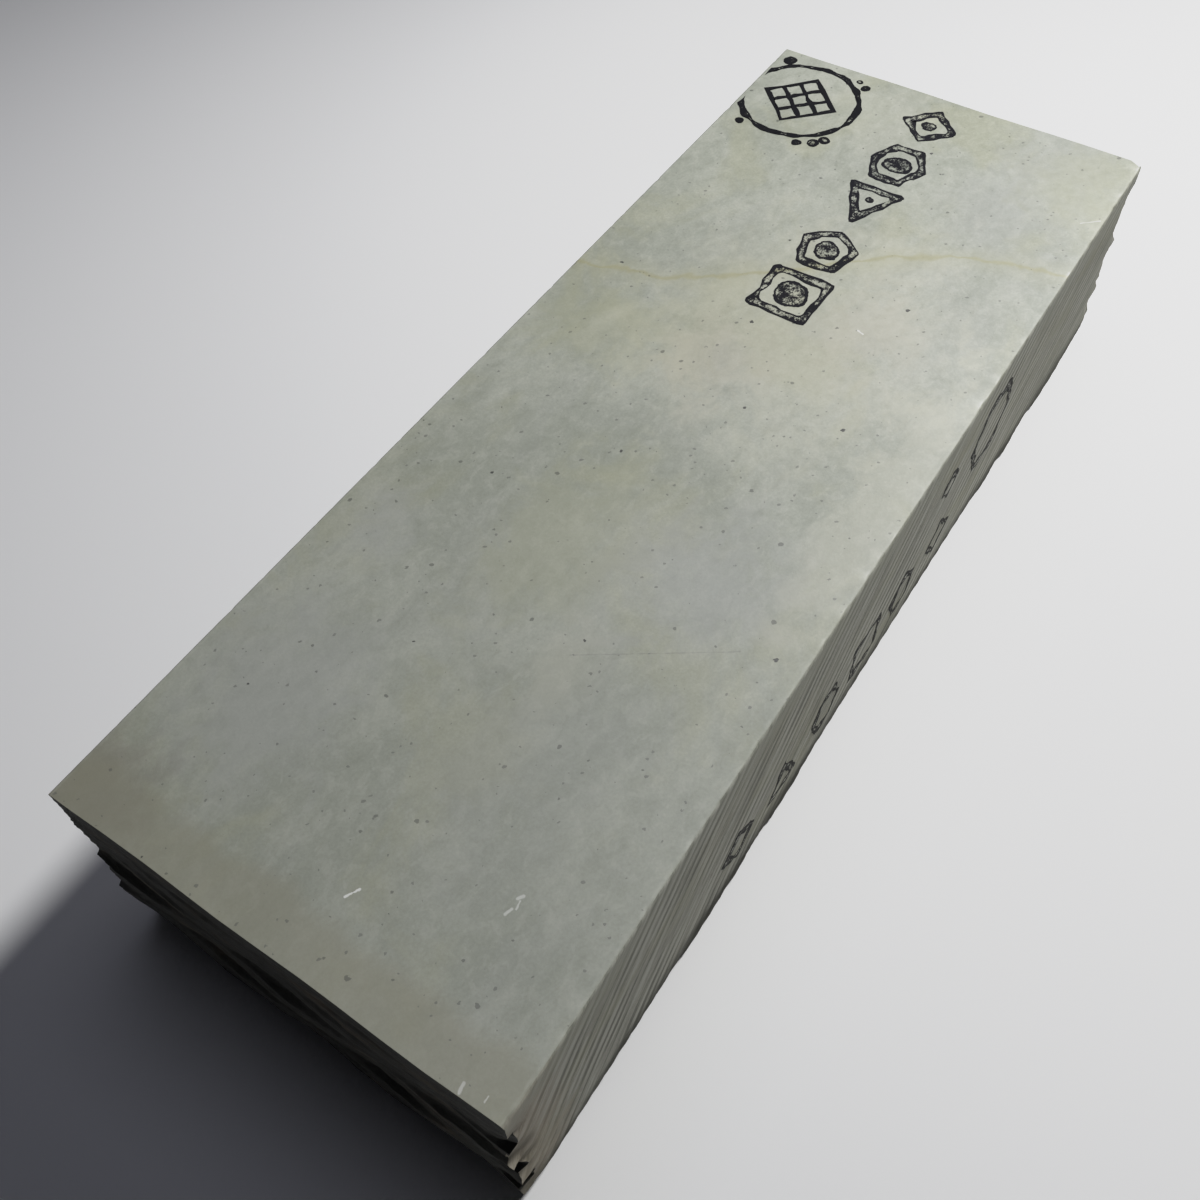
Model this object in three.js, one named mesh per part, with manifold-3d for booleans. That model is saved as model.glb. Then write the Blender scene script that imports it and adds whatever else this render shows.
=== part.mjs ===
// Sharpening whetstone: one block of natural finishing stone, with ink marks printed on its
// honed top face and brushed on its sawn right side.
//
// Frame: millimetres, +Z up, origin at the middle of the resting face. +X runs along the stone
// towards its marked end, +Y points to the left side and -Y to the marked, right side.
import * as THREE from 'three';
import Module from 'manifold-3d';
import { mergeVertices } from 'three/addons/utils/BufferGeometryUtils.js';

const wasm = await Module();
wasm.setup();

// ---------------------------------------------------------------- driving dimensions
// The block.
const STONE_LENGTH = 208;
const STONE_WIDTH = 77.5;
const STONE_HEIGHT = 43.5;
const TOP_CHAMFER = 0.5;
const BOTTOM_CHAMFER = 0.8;

// The ink films.
const INK_THICKNESS = 0.05;
const INK_EDGE_MARGIN = 0.4;

// The round stamp near the marked end, which runs off the left edge.
const STAMP_RADIUS = 12.6;
const STAMP_LINE = 1.3;
const STAMP_END_MARGIN = 2.5;
const STAMP_SIDE_DISTANCE = 11.4;
const LATTICE_BAR = 0.9;
const LATTICE_WINDOW = 2.7;
const LATTICE_COUNT = 3;
const SATELLITE_GAP = 0.5;

// The column of marks along the top.
const MARK_SIZE = 12;
const MARK_LINE = 1.7;
const MARK_GAP = 2.2;
const MARK_CORE_GAP = 1;
const COLUMN_END_DISTANCE = 10;
const COLUMN_SIDE_OFFSET = 1;

// The marks on the right side.
const SIDE_MARK_SIZE = 10;
const SIDE_MARK_LINE = 1.3;
const SIDE_MARK_GAP = 4.2;
const SIDE_ROW_START = -46;
const SIDE_ROW_HEIGHT = 14.3;
const SIDE_SEAL_SIZE = 17;
const SIDE_SEAL_LINE = 1.5;
const SIDE_SEAL_X = 41.5;
const SIDE_SEAL_BELOW_TOP = 15.5;
const SIDE_SMALL_SIZE = 7.5;
const SIDE_SMALL_X = 23.5;
const SIDE_SMALL_BELOW_TOP = 13.5;

// Each split end breaks along the bedding, in ledges. A ledge has the height of its lower lip
// above the resting face, how far it stands back, how deep its waves are and where they start.
const LEDGE_TREAD = 0.6;
const NEAR_END = {
  direction: -1,
  wavelength: 31,
  ledges: [
    { lip: 0, back: 0.9, wave: 0.8, turn: 0.3 },
    { lip: 3, back: 0.1, wave: 0.9, turn: 1.1 },
    { lip: 8.5, back: 0, wave: 0.7, turn: 2.6 },
    { lip: 14, back: 0.5, wave: 0.9, turn: 4.2 },
    { lip: 19, back: 0.4, wave: 0.8, turn: 5.1 },
    { lip: 24.5, back: 1.1, wave: 0.7, turn: 0.8 },
    { lip: 30, back: 1.4, wave: 0.5, turn: 1.9 },
    { lip: 35.5, back: 1.8, wave: 0.2, turn: 3.4 },
  ],
  chips: [
    { side: -1, low: 0, high: 3.5, depth: 2.2, reach: 4 },
    { side: -1, low: 7, high: 12, depth: 2.8, reach: 5 },
    { side: -1, low: 17, high: 22, depth: 1.6, reach: 4 },
    { side: -1, low: 30, high: 36, depth: 1.2, reach: 3 },
    { side: 1, low: 0, high: 9, depth: 1.5, reach: 4 },
  ],
};
const FAR_END = {
  direction: 1,
  wavelength: 37,
  ledges: [
    { lip: 0, back: 0.8, wave: 0.7, turn: 2.2 },
    { lip: 4.5, back: 0.3, wave: 0.8, turn: 0.4 },
    { lip: 11, back: 0.7, wave: 0.6, turn: 3.7 },
    { lip: 17.5, back: 0, wave: 0.8, turn: 1.6 },
    { lip: 25, back: 0.5, wave: 0.6, turn: 5.5 },
    { lip: 31.5, back: 0.1, wave: 0.6, turn: 4.4 },
    { lip: 37.5, back: 0.2, wave: 0.2, turn: 2.9 },
  ],
  chips: [
    { side: -1, low: 15, high: 21, depth: 2, reach: 4 },
    { side: -1, low: 28, high: 33, depth: 1.4, reach: 3 },
    { side: -1, low: 37.5, high: STONE_HEIGHT, depth: 1.6, reach: 2 },
    { side: 1, low: 20, high: 26, depth: 1.5, reach: 4 },
  ],
};

// How finely the block is faceted.
const END_BAY = 7;
const CORNER_COLUMNS = [2.5, 5];
const LENGTH_BAYS = 4;
const END_REACH = 14;

// ---------------------------------------------------------------- materials
function finish(color, roughness) {
  return new THREE.MeshStandardMaterial({ color, roughness, metalness: 0 });
}

const STONE_COLOR = 0xa3a898;
const STONE_ROUGHNESS = 0.75;
const INK_COLOR = 0x24242a;
const FADED_INK_COLOR = 0x4b4a4c;
const INK_ROUGHNESS = 0.8;

const whetstone = new THREE.Group();

function addPiece(name, geometry, material) {
  const mesh = new THREE.Mesh(geometry, material);
  mesh.name = name;
  whetstone.add(mesh);
  return mesh;
}

// ---------------------------------------------------------------- the block
function ledgeAt(end, z) {
  return end.ledges.findLast((ledge) => ledge.lip <= z) ?? end.ledges[0];
}

// How far a split end stands back from its outermost plane at a point of the end face.
function standBack(end, y, z) {
  const ledge = ledgeAt(end, z);
  const swell = (1 + Math.sin((2 * Math.PI * y) / end.wavelength + ledge.turn)) / 2;
  const chipped = end.chips.map((chip) => {
    const fromSide = STONE_WIDTH / 2 - chip.side * y;
    const inside = z >= chip.low && z <= chip.high;
    return inside ? chip.depth * Math.max(0, 1 - fromSide / chip.reach) : 0;
  });
  return ledge.back + ledge.wave * swell + Math.max(...chipped);
}

// Widths of the end grid: the chamfer lines, two columns at each corner and even bays between.
function columnPositions() {
  const half = STONE_WIDTH / 2;
  const insets = [0, BOTTOM_CHAMFER, TOP_CHAMFER, ...CORNER_COLUMNS].sort((a, b) => a - b);
  const corner = insets.map((inset) => half - inset);
  const inner = half - CORNER_COLUMNS.at(-1);
  const bays = Math.round((2 * inner) / END_BAY);
  const between = Array.from({ length: bays - 1 }, (_, i) => -inner + (2 * inner * (i + 1)) / bays);
  return [...corner.map((y) => -y), ...between, ...corner.reverse()];
}

// Heights of the end grid: one row each side of every lip, so a ledge is a narrow slope.
function rowPositions() {
  const lips = [...NEAR_END.ledges, ...FAR_END.ledges].map((ledge) => ledge.lip);
  const chipEnds = NEAR_END.chips.flatMap((chip) => [chip.low, chip.high]);
  const edges = [...new Set([...lips, ...chipEnds])].sort((a, b) => a - b);
  const rows = [BOTTOM_CHAMFER];
  for (const edge of edges) {
    for (const z of [edge - LEDGE_TREAD / 2, edge + LEDGE_TREAD / 2]) {
      const clearOfLast = z - rows.at(-1) > LEDGE_TREAD / 2;
      if (clearOfLast && z < STONE_HEIGHT - TOP_CHAMFER - LEDGE_TREAD) {
        rows.push(z);
      }
    }
  }
  return [...rows, STONE_HEIGHT - TOP_CHAMFER];
}

function stoneGeometry() {
  const columns = columnPositions();
  const rows = rowPositions();
  const lastColumn = columns.length - 1;
  const lastRow = rows.length - 1;
  const lastStation = LENGTH_BAYS + 2;

  const rowHeight = (column, row) => {
    const fromSide = STONE_WIDTH / 2 - Math.abs(columns[column]);
    if (row === 0) {
      return Math.max(0, BOTTOM_CHAMFER - fromSide);
    }
    if (row === lastRow) {
      return STONE_HEIGHT - Math.max(0, TOP_CHAMFER - fromSide);
    }
    return rows[row];
  };

  // The proudest point of each end lies on its nominal plane.
  const proudest = (end) => {
    const backs = columns.flatMap((y, column) =>
      rows.map((_, row) => standBack(end, y, rowHeight(column, row))));
    return Math.min(...backs);
  };
  const leastBack = new Map([NEAR_END, FAR_END].map((end) => [end, proudest(end)]));

  const stationX = (station, y, z) => {
    if (station > 0 && station < lastStation) {
      const span = STONE_LENGTH - 2 * END_REACH;
      return -span / 2 + (span * (station - 1)) / LENGTH_BAYS;
    }
    const end = station === 0 ? NEAR_END : FAR_END;
    return end.direction * (STONE_LENGTH / 2 - standBack(end, y, z) + leastBack.get(end));
  };

  const positions = [];
  const indices = [];
  const numbers = new Map();
  const corner = (station, column, row) => {
    const key = `${station},${column},${row}`;
    if (!numbers.has(key)) {
      const y = columns[column];
      const z = rowHeight(column, row);
      numbers.set(key, positions.length / 3);
      positions.push(stationX(station, y, z), y, z);
    }
    return numbers.get(key);
  };
  const quad = (a, b, c, d) => indices.push(a, b, c, a, c, d);

  for (let column = 0; column < lastColumn; column += 1) {
    for (let row = 0; row < lastRow; row += 1) {
      for (const [station, step] of [[0, 0], [lastStation, 1]]) {
        const a = corner(station, column + step, row);
        const b = corner(station, column + 1 - step, row);
        const c = corner(station, column + 1 - step, row + 1);
        const d = corner(station, column + step, row + 1);
        quad(b, a, d, c);
      }
    }
  }
  for (let station = 0; station < lastStation; station += 1) {
    const next = station + 1;
    for (let column = 0; column < lastColumn; column += 1) {
      const across = column + 1;
      quad(
        corner(station, column, lastRow), corner(next, column, lastRow),
        corner(next, across, lastRow), corner(station, across, lastRow),
      );
      quad(
        corner(station, across, 0), corner(next, across, 0),
        corner(next, column, 0), corner(station, column, 0),
      );
    }
    for (let row = 0; row < lastRow; row += 1) {
      const above = row + 1;
      quad(
        corner(station, 0, row), corner(next, 0, row),
        corner(next, 0, above), corner(station, 0, above),
      );
      quad(
        corner(next, lastColumn, row), corner(station, lastColumn, row),
        corner(station, lastColumn, above), corner(next, lastColumn, above),
      );
    }
  }

  const geometry = new THREE.BufferGeometry();
  geometry.setAttribute('position', new THREE.Float32BufferAttribute(positions, 3));
  geometry.setIndex(indices);
  geometry.computeVertexNormals();
  return geometry;
}

// ---------------------------------------------------------------- ink films
const CORNER_SEGMENTS = 2;
const CORNER_ROUNDING = 0.1;
const ROUND_SEGMENTS = 40;
const DOT_SEGMENTS = 10;

// The corners of a mark, stretched to fill a square box centred on its place.
function markTips(count, firstAngle, size) {
  const tips = Array.from({ length: count }, (_, i) => {
    const angle = THREE.MathUtils.degToRad(firstAngle) + (2 * Math.PI * i) / count;
    return new THREE.Vector2(Math.cos(angle), Math.sin(angle));
  });
  const box = new THREE.Box2().setFromPoints(tips);
  const middle = box.getCenter(new THREE.Vector2());
  const stretch = new THREE.Vector2(size, size).divide(box.getSize(new THREE.Vector2()));
  return tips.map((tip) => tip.sub(middle).multiply(stretch));
}

function middleOf(tips) {
  const sum = tips.reduce((total, tip) => total.add(tip), new THREE.Vector2());
  return sum.divideScalar(tips.length);
}

// The distance from the middle of a mark to its nearest side.
function reachOf(tips) {
  const middle = middleOf(tips);
  return Math.min(...tips.map((tip, i) => {
    const next = tips[(i + 1) % tips.length];
    const along = next.clone().sub(tip);
    return Math.abs(along.cross(middle.clone().sub(tip))) / along.length();
  }));
}

// A closed outline through the tips, with each corner rounded by a share of its two sides.
function roundedOutline(path, tips) {
  tips.forEach((tip, i) => {
    const before = tip.clone().lerp(tips[(i + tips.length - 1) % tips.length], CORNER_ROUNDING);
    const after = tip.clone().lerp(tips[(i + 1) % tips.length], CORNER_ROUNDING);
    if (i === 0) {
      path.moveTo(before.x, before.y);
    } else {
      path.lineTo(before.x, before.y);
    }
    path.quadraticCurveTo(tip.x, tip.y, after.x, after.y);
  });
  path.closePath();
  return path;
}

// An outline drawn in one line of even width, open inside.
function lineOutline(tips, line) {
  const middle = middleOf(tips);
  const inner = tips.map((tip) => tip.clone().lerp(middle, line / reachOf(tips)));
  const shape = roundedOutline(new THREE.Shape(), tips);
  shape.holes.push(roundedOutline(new THREE.Path(), inner));
  return shape;
}

function dot(radius) {
  return new THREE.Shape().absarc(0, 0, radius, 0, 2 * Math.PI, false);
}

function ring(radius, line) {
  const shape = dot(radius);
  shape.holes.push(new THREE.Path().absarc(0, 0, radius - line, 0, 2 * Math.PI, true));
  return shape;
}

// A square lattice standing on one corner.
function lattice() {
  const cell = LATTICE_WINDOW + LATTICE_BAR;
  const half = (LATTICE_COUNT * cell + LATTICE_BAR) / 2;
  const square = (path, x, y, size) => {
    const turned = [[0, 0], [size, 0], [size, size], [0, size]].map(([dx, dy]) =>
      new THREE.Vector2(x + dx, y + dy).rotateAround(new THREE.Vector2(), Math.PI / 4));
    return path.setFromPoints(turned);
  };
  const shape = square(new THREE.Shape(), -half, -half, 2 * half);
  for (let row = 0; row < LATTICE_COUNT; row += 1) {
    for (let column = 0; column < LATTICE_COUNT; column += 1) {
      const x = -half + LATTICE_BAR + column * cell;
      const y = -half + LATTICE_BAR + row * cell;
      shape.holes.push(square(new THREE.Path(), x, y, LATTICE_WINDOW));
    }
  }
  return shape;
}

function film(shape, curveSegments) {
  return new THREE.ExtrudeGeometry(shape, {
    depth: INK_THICKNESS,
    bevelEnabled: false,
    curveSegments,
  });
}

function toSolid(geometry) {
  const plain = geometry.clone();
  plain.deleteAttribute('normal');
  plain.deleteAttribute('uv');
  const merged = mergeVertices(plain);
  return new wasm.Manifold(new wasm.Mesh({
    numProp: 3,
    vertProperties: Float32Array.from(merged.attributes.position.array),
    triVerts: Uint32Array.from(merged.index.array),
  }));
}

function toGeometry(solid) {
  const mesh = solid.getMesh();
  const geometry = new THREE.BufferGeometry();
  geometry.setAttribute('position', new THREE.BufferAttribute(mesh.vertProperties, 3));
  geometry.setIndex(new THREE.BufferAttribute(mesh.triVerts, 1));
  return geometry;
}

// Ink only takes where the stamp meets the flat face, so a film ends at the chamfers.
function keepOnFace(geometry, x, y, faceWidth, faceHeight) {
  const face = new THREE.BoxGeometry(faceWidth, faceHeight, 4 * INK_THICKNESS);
  face.translate(-x, -y, 0);
  return toGeometry(toSolid(geometry).intersect(toSolid(face)));
}

function printOnTop(name, shape, x, y, curveSegments = CORNER_SEGMENTS) {
  const width = STONE_WIDTH - 2 * (TOP_CHAMFER + INK_EDGE_MARGIN);
  const geometry = keepOnFace(film(shape, curveSegments), x, y, STONE_LENGTH, width);
  addPiece(name, geometry, finish(INK_COLOR, INK_ROUGHNESS)).position.set(x, y, STONE_HEIGHT);
}

// A film on the right side: its drawing's x runs along the stone, its y upwards, and it stands
// out towards -Y. The swap of axes is exact, so the film lies flush on the side.
function brushOnSide(name, shape, x, z) {
  const geometry = film(shape, CORNER_SEGMENTS);
  const position = geometry.attributes.position;
  for (let i = 0; i < position.count; i += 1) {
    position.setXYZ(i, position.getX(i), -position.getZ(i), position.getY(i));
  }
  geometry.computeVertexNormals();
  const mesh = addPiece(name, geometry, finish(FADED_INK_COLOR, INK_ROUGHNESS));
  mesh.position.set(x, -STONE_WIDTH / 2, z);
}

// ---------------------------------------------------------------- assembly
addPiece('stone_block', stoneGeometry(), finish(STONE_COLOR, STONE_ROUGHNESS));

const stampX = STONE_LENGTH / 2 - STAMP_END_MARGIN - STAMP_RADIUS;
const stampY = STONE_WIDTH / 2 - STAMP_SIDE_DISTANCE;
printOnTop('stamp_ring', ring(STAMP_RADIUS, STAMP_LINE), stampX, stampY, ROUND_SEGMENTS);
printOnTop('stamp_lattice', lattice(), stampX, stampY);

// Small dots outside the ring: the angle from +X in degrees, and the radius.
const SATELLITES = [
  { angle: 37, radius: 1.3 },
  { angle: -33, radius: 0.9 },
  { angle: -43, radius: 0.9 },
  { angle: 207, radius: 1.1 },
  { angle: 218, radius: 1.2 },
  { angle: 229, radius: 1 },
  { angle: 150, radius: 0.9 },
];
SATELLITES.forEach(({ angle, radius }, i) => {
  const distance = STAMP_RADIUS + SATELLITE_GAP + radius;
  const x = stampX + distance * Math.cos(THREE.MathUtils.degToRad(angle));
  const y = stampY + distance * Math.sin(THREE.MathUtils.degToRad(angle));
  printOnTop(`stamp_dot_${i + 1}`, dot(radius), x, y, DOT_SEGMENTS);
});

// The column on the top, from the marked end: the number of corners and the first one's angle.
const COLUMN_OUTLINES = [
  { corners: 4, angle: 0 },
  { corners: 6, angle: 30 },
  { corners: 3, angle: 180 },
  { corners: 5, angle: 0 },
  { corners: 4, angle: 45 },
];
COLUMN_OUTLINES.forEach(({ corners, angle }, i) => {
  const x = STONE_LENGTH / 2 - COLUMN_END_DISTANCE - i * (MARK_SIZE + MARK_GAP);
  const tips = markTips(corners, angle, MARK_SIZE);
  const middle = middleOf(tips);
  const coreRadius = reachOf(tips) - MARK_LINE - MARK_CORE_GAP;
  printOnTop(`top_mark_${i + 1}`, lineOutline(tips, MARK_LINE), x, COLUMN_SIDE_OFFSET);
  printOnTop(
    `top_mark_${i + 1}_core`, dot(coreRadius), x + middle.x, COLUMN_SIDE_OFFSET + middle.y,
    DOT_SEGMENTS,
  );
});

// The row on the right side, from the plain end.
const SIDE_OUTLINES = [
  { corners: 4, angle: 0 },
  { corners: 3, angle: 90 },
  { corners: 6, angle: 0 },
  { corners: 4, angle: 45 },
  { corners: 5, angle: 90 },
  { corners: 4, angle: 0 },
];
SIDE_OUTLINES.forEach(({ corners, angle }, i) => {
  const x = SIDE_ROW_START + i * (SIDE_MARK_SIZE + SIDE_MARK_GAP);
  const tips = markTips(corners, angle, SIDE_MARK_SIZE);
  brushOnSide(`side_mark_${i + 1}`, lineOutline(tips, SIDE_MARK_LINE), x, SIDE_ROW_HEIGHT);
});
brushOnSide(
  'side_seal', lineOutline(markTips(6, 0, SIDE_SEAL_SIZE), SIDE_SEAL_LINE),
  SIDE_SEAL_X, STONE_HEIGHT - SIDE_SEAL_BELOW_TOP,
);
brushOnSide(
  'side_small_mark', lineOutline(markTips(4, 0, SIDE_SMALL_SIZE), SIDE_MARK_LINE),
  SIDE_SMALL_X, STONE_HEIGHT - SIDE_SMALL_BELOW_TOP,
);

export default whetstone;
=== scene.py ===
"""Looks of the sharpening whetstone: the stone block, its ink marks and a plain studio.

All lengths are metres in the frame's own axes: +Z up, +X along the stone towards its marked
end, -Y towards its marked, sawn side. Shader patterns are laid out in millimetres.
"""

import logging
import math
from collections.abc import Callable, Iterable
from dataclasses import dataclass, field
from enum import Enum
from functools import cached_property
from itertools import product

import bmesh
import bpy
import numpy as np
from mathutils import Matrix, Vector, noise
from mathutils.bvhtree import BVHTree


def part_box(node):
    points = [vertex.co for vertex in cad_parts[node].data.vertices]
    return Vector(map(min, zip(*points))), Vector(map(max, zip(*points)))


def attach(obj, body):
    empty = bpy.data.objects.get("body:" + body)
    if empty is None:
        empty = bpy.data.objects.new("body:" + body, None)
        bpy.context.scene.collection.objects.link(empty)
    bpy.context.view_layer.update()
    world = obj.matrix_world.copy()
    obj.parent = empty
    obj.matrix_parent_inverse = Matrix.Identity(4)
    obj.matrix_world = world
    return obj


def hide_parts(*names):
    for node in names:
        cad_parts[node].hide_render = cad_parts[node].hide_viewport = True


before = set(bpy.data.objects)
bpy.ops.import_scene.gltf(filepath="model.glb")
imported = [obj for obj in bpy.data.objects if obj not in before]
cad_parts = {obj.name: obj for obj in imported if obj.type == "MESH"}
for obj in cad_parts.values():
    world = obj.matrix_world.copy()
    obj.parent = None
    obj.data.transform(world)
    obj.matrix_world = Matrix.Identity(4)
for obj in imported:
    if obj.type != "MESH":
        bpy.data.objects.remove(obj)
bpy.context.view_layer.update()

LOG = logging.getLogger("whetstone")
MM = 0.001
HAIR = 1e-6
WEIGHT_LEVELS = 32
Pair = tuple[float, float]
Triple = tuple[float, float, float]
Piece = bpy.types.Object
Tree = bpy.types.NodeTree

STONE_LOW, STONE_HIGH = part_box("stone_block")
HALF_LENGTH_MM = STONE_HIGH.x / MM
HALF_WIDTH_MM = STONE_HIGH.y / MM
TOP_MM = STONE_HIGH.z / MM
SAW_CENTRE_MM = (330.0, -330.0)
SAW_PITCH_MM = 2.9
SAW_DEPTH_MM = 0.1


class Slot(Enum):
    """Material slots of the record."""

    STONE = "stone"
    TOP_INK = "top_ink"
    SIDE_INK = "side_ink"


class Side(Enum):
    """The faces of the block, as numbers noted on its mesh."""

    TOP = 0
    BOTTOM = 1
    RIGHT = 2
    LEFT = 3
    NEAR = 4
    FAR = 5


class Finish(Enum):
    """How a face of the block was made, as an index into the block's materials."""

    HONED = 0
    SAWN = 1
    SPLIT = 2


class Tint(Enum):
    """Colours that drift through the stone or mark its face."""

    BLUE = (0.378, 0.386, 0.372)
    OLIVE = (0.385, 0.39, 0.265)
    ROSE = (0.44, 0.405, 0.345)
    CREAM = (0.56, 0.55, 0.44)
    SLATE = (0.3, 0.31, 0.29)
    CHALK = (0.85, 0.85, 0.82)
    SOOT = (0.16, 0.16, 0.15)
    UMBER = (0.21, 0.187, 0.15)


# ------------------------------------------------------------------ what shows on the stone


@dataclass(frozen=True)
class Drift:
    """A soft patch of colour on the top, in millimetres from the middle."""

    centre: Pair
    reach: Pair
    tint: Tint
    share: float


@dataclass(frozen=True)
class Line:
    """A fine straight line on the top, in millimetres from the middle."""

    start: Pair
    run: Pair
    width: float
    tint: Tint
    share: float


TOP_DRIFTS = (
    Drift((-73, 24), (19, 14), Tint.BLUE, 0.42),
    Drift((-40, 30), (9, 7), Tint.BLUE, 0.42),
    Drift((-23, -18), (15, 15), Tint.BLUE, 0.46),
    Drift((79, -23), (17, 13), Tint.BLUE, 0.26),
    Drift((-29, 6), (22, 11), Tint.OLIVE, 0.38),
    Drift((14, 27), (13, 14), Tint.OLIVE, 0.42),
    Drift((17, 4), (12, 9), Tint.ROSE, 0.34),
    Drift((35, -14), (12, 11), Tint.ROSE, 0.3),
    Drift((93, 8), (14, 13), Tint.CREAM, 0.18),
    Drift((30, -4), (32, 28), Tint.CREAM, 0.34),
    Drift((98, -24), (13, 12), Tint.SLATE, 0.3),
    Drift((90, -30), (13, 9), Tint.OLIVE, 0.36),
    Drift((2, -34), (36, 7), Tint.CREAM, 0.3),
    Drift((-50, -9), (9, 6), Tint.CREAM, 0.34),
    Drift((-60, -14), (20, 14), Tint.SLATE, 0.26),
    Drift((-99, 34), (11, 12), Tint.UMBER, 0.56),
)
TOP_LINES = (
    Line((-45.7, -8.8), (13.6, -20.3), 0.14, Tint.SOOT, 0.34),
    Line((-91.0, -5.2), (1.8, -0.9), 0.26, Tint.CHALK, 0.75),
    Line((-81.6, -23.8), (1.0, -0.3), 0.24, Tint.CHALK, 0.4),
    Line((-80.3, -24.6), (1.1, 0.2), 0.2, Tint.CHALK, 0.4),
    Line((-79.1, -23.9), (0.7, -0.5), 0.26, Tint.CHALK, 0.4),
    Line((-101.8, -32.0), (1.2, 0.2), 0.26, Tint.CHALK, 0.4),
    Line((-100.9, -35.1), (0.8, 0.0), 0.26, Tint.CHALK, 0.4),
    Line((35.1, -13.4), (-0.3, -1.1), 0.22, Tint.CHALK, 0.6),
    Line((81.3, -35.0), (2.5, -2.9), 0.15, Tint.CHALK, 0.5),
)


@dataclass(frozen=True)
class Pattern:
    """A noise that runs through the stone.

    Attributes:
        sizes: The size of its features along each axis, in millimetres.
        detail: How many finer layers it has.
        roughness: How strong the finer layers are.
        swirl: How much it is distorted.
        shift: Where it is moved to.
        turn: Its turn about Z, in degrees.
    """

    sizes: Triple
    detail: float = 3.0
    roughness: float = 0.5
    swirl: float = 0.0
    shift: Triple = (0, 0, 0)
    turn: float = 0.0


@dataclass(frozen=True)
class Wash:
    """A colour laid over the stone where a pattern says so.

    Attributes:
        pattern: The pattern's name.
        share: How much of the colour shows where it is full.
        colour: The colour.
        span: The pattern's values where the wash starts and is full, or None for a mask.
    """

    pattern: str
    share: float
    colour: Triple
    span: Pair | None = None


GROUND_PATTERNS = {
    "clouds": Pattern((34, 26, 9), 6, 0.55, 0.4, (3, 1, 0), 24),
    "wisps": Pattern((11, 7, 4), 9, 0.6, 0.7, (7, 2, 4), 24),
    "flecks": Pattern((2.6, 2.0, 1.4), 6, 0.62, 0.5, (1, 9, 4), 24),
    "grain": Pattern((0.45, 0.45, 0.35), 3, 0.7),
    "drift": Pattern((26, 20, 12), 7, 0.58, 0.5, (11, 5, 2), -30),
}
GROUND_BODY = (0.36, 0.378, 0.316)
GROUND_WASHES = (
    Wash("clouds", 1.0, (0.44, 0.456, 0.39), (0.36, 0.64)),
    Wash("wisps", 0.36, (0.52, 0.53, 0.455), (0.5, 0.66)),
    Wash("wisps", 0.34, (0.3, 0.318, 0.26), (0.48, 0.34)),
    Wash("flecks", 0.3, (0.54, 0.545, 0.475), (0.5, 0.64)),
    Wash("flecks", 0.26, (0.27, 0.283, 0.225), (0.48, 0.34)),
    Wash("drift", 0.36, (0.42, 0.42, 0.28), (0.5, 0.64)),
    Wash("drift", 0.18, (0.38, 0.39, 0.365), (0.48, 0.34)),
)
HONED_WASHES = (
    Wash("halo", 0.26, (0.42, 0.41, 0.27)),
    Wash("line", 0.5, (0.34, 0.32, 0.165)),
    Wash("from_end", 0.55, (0.29, 0.275, 0.195), (11.5, 7.5)),
    # Painted shade: the top darkens slowly over its last 150 mm towards the near end.
    Wash("from_end", 0.27, (0.2, 0.21, 0.17), (150, 10)),
    Wash("fine", 0.75, (0.11, 0.11, 0.1)),
    Wash("coarse", 0.95, (0.05, 0.05, 0.045)),
)
SAWN_DUST = (0.25, 0.242, 0.208)
SAWN_WASHES = (
    # Painted shade in the saw's grooves, then painted highlight on its ridges.
    Wash("height", 0.75, (0.11, 0.11, 0.09), (0.5, 0.24)),
    Wash("height", 0.6, (0.46, 0.455, 0.405), (0.53, 0.78)),
    Wash("patches", 0.35, (0.3, 0.3, 0.22), (0.5, 0.66)),
    Wash("from_end", 0.45, (0.35, 0.29, 0.225), (24, 12)),
    Wash("spots", 0.5, (0.16, 0.14, 0.11)),
    # Painted shade: the sides darken to near black along the bottom, standing in for the contact
    # shadow under the block.
    Wash("low", 0.94, (0.045, 0.043, 0.035), (9.0, 2.5)),
    # Painted shade: the sides darken towards the far end.
    Wash("along", 0.3, (0.15, 0.15, 0.12), (30, 95)),
    Wash("above", 0.45, (0.33, 0.335, 0.285), (TOP_MM - 8.0, TOP_MM - 2.0)),
)
SPLIT_PATTERNS = {
    "beds": Pattern((60, 30, 1.6), 5, 0.6, 0.3),
    "crumbs": Pattern((1.4, 1.4, 0.6), 6, 0.65),
    "stain": Pattern((10, 14, 6), 4, 0.6, shift=(1, 6, 2)),
}
# Painted shade: the split ends are blended almost wholly to this near-black colour.
SPLIT_PAINTED_SHADE = (0.034, 0.033, 0.029)
SPLIT_WASHES = (
    Wash("beds", 0.6, (0.06, 0.06, 0.05), (0.5, 0.64)),
    Wash("beds", 0.2, (0.2, 0.2, 0.165), (0.46, 0.34)),
    Wash("stain", 0.45, (0.15, 0.115, 0.075), (0.52, 0.7)),
    Wash("crumbs", 0.5, (0.04, 0.04, 0.034), (0.45, 0.3)),
)


# ------------------------------------------------------------------ shader wiring


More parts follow.
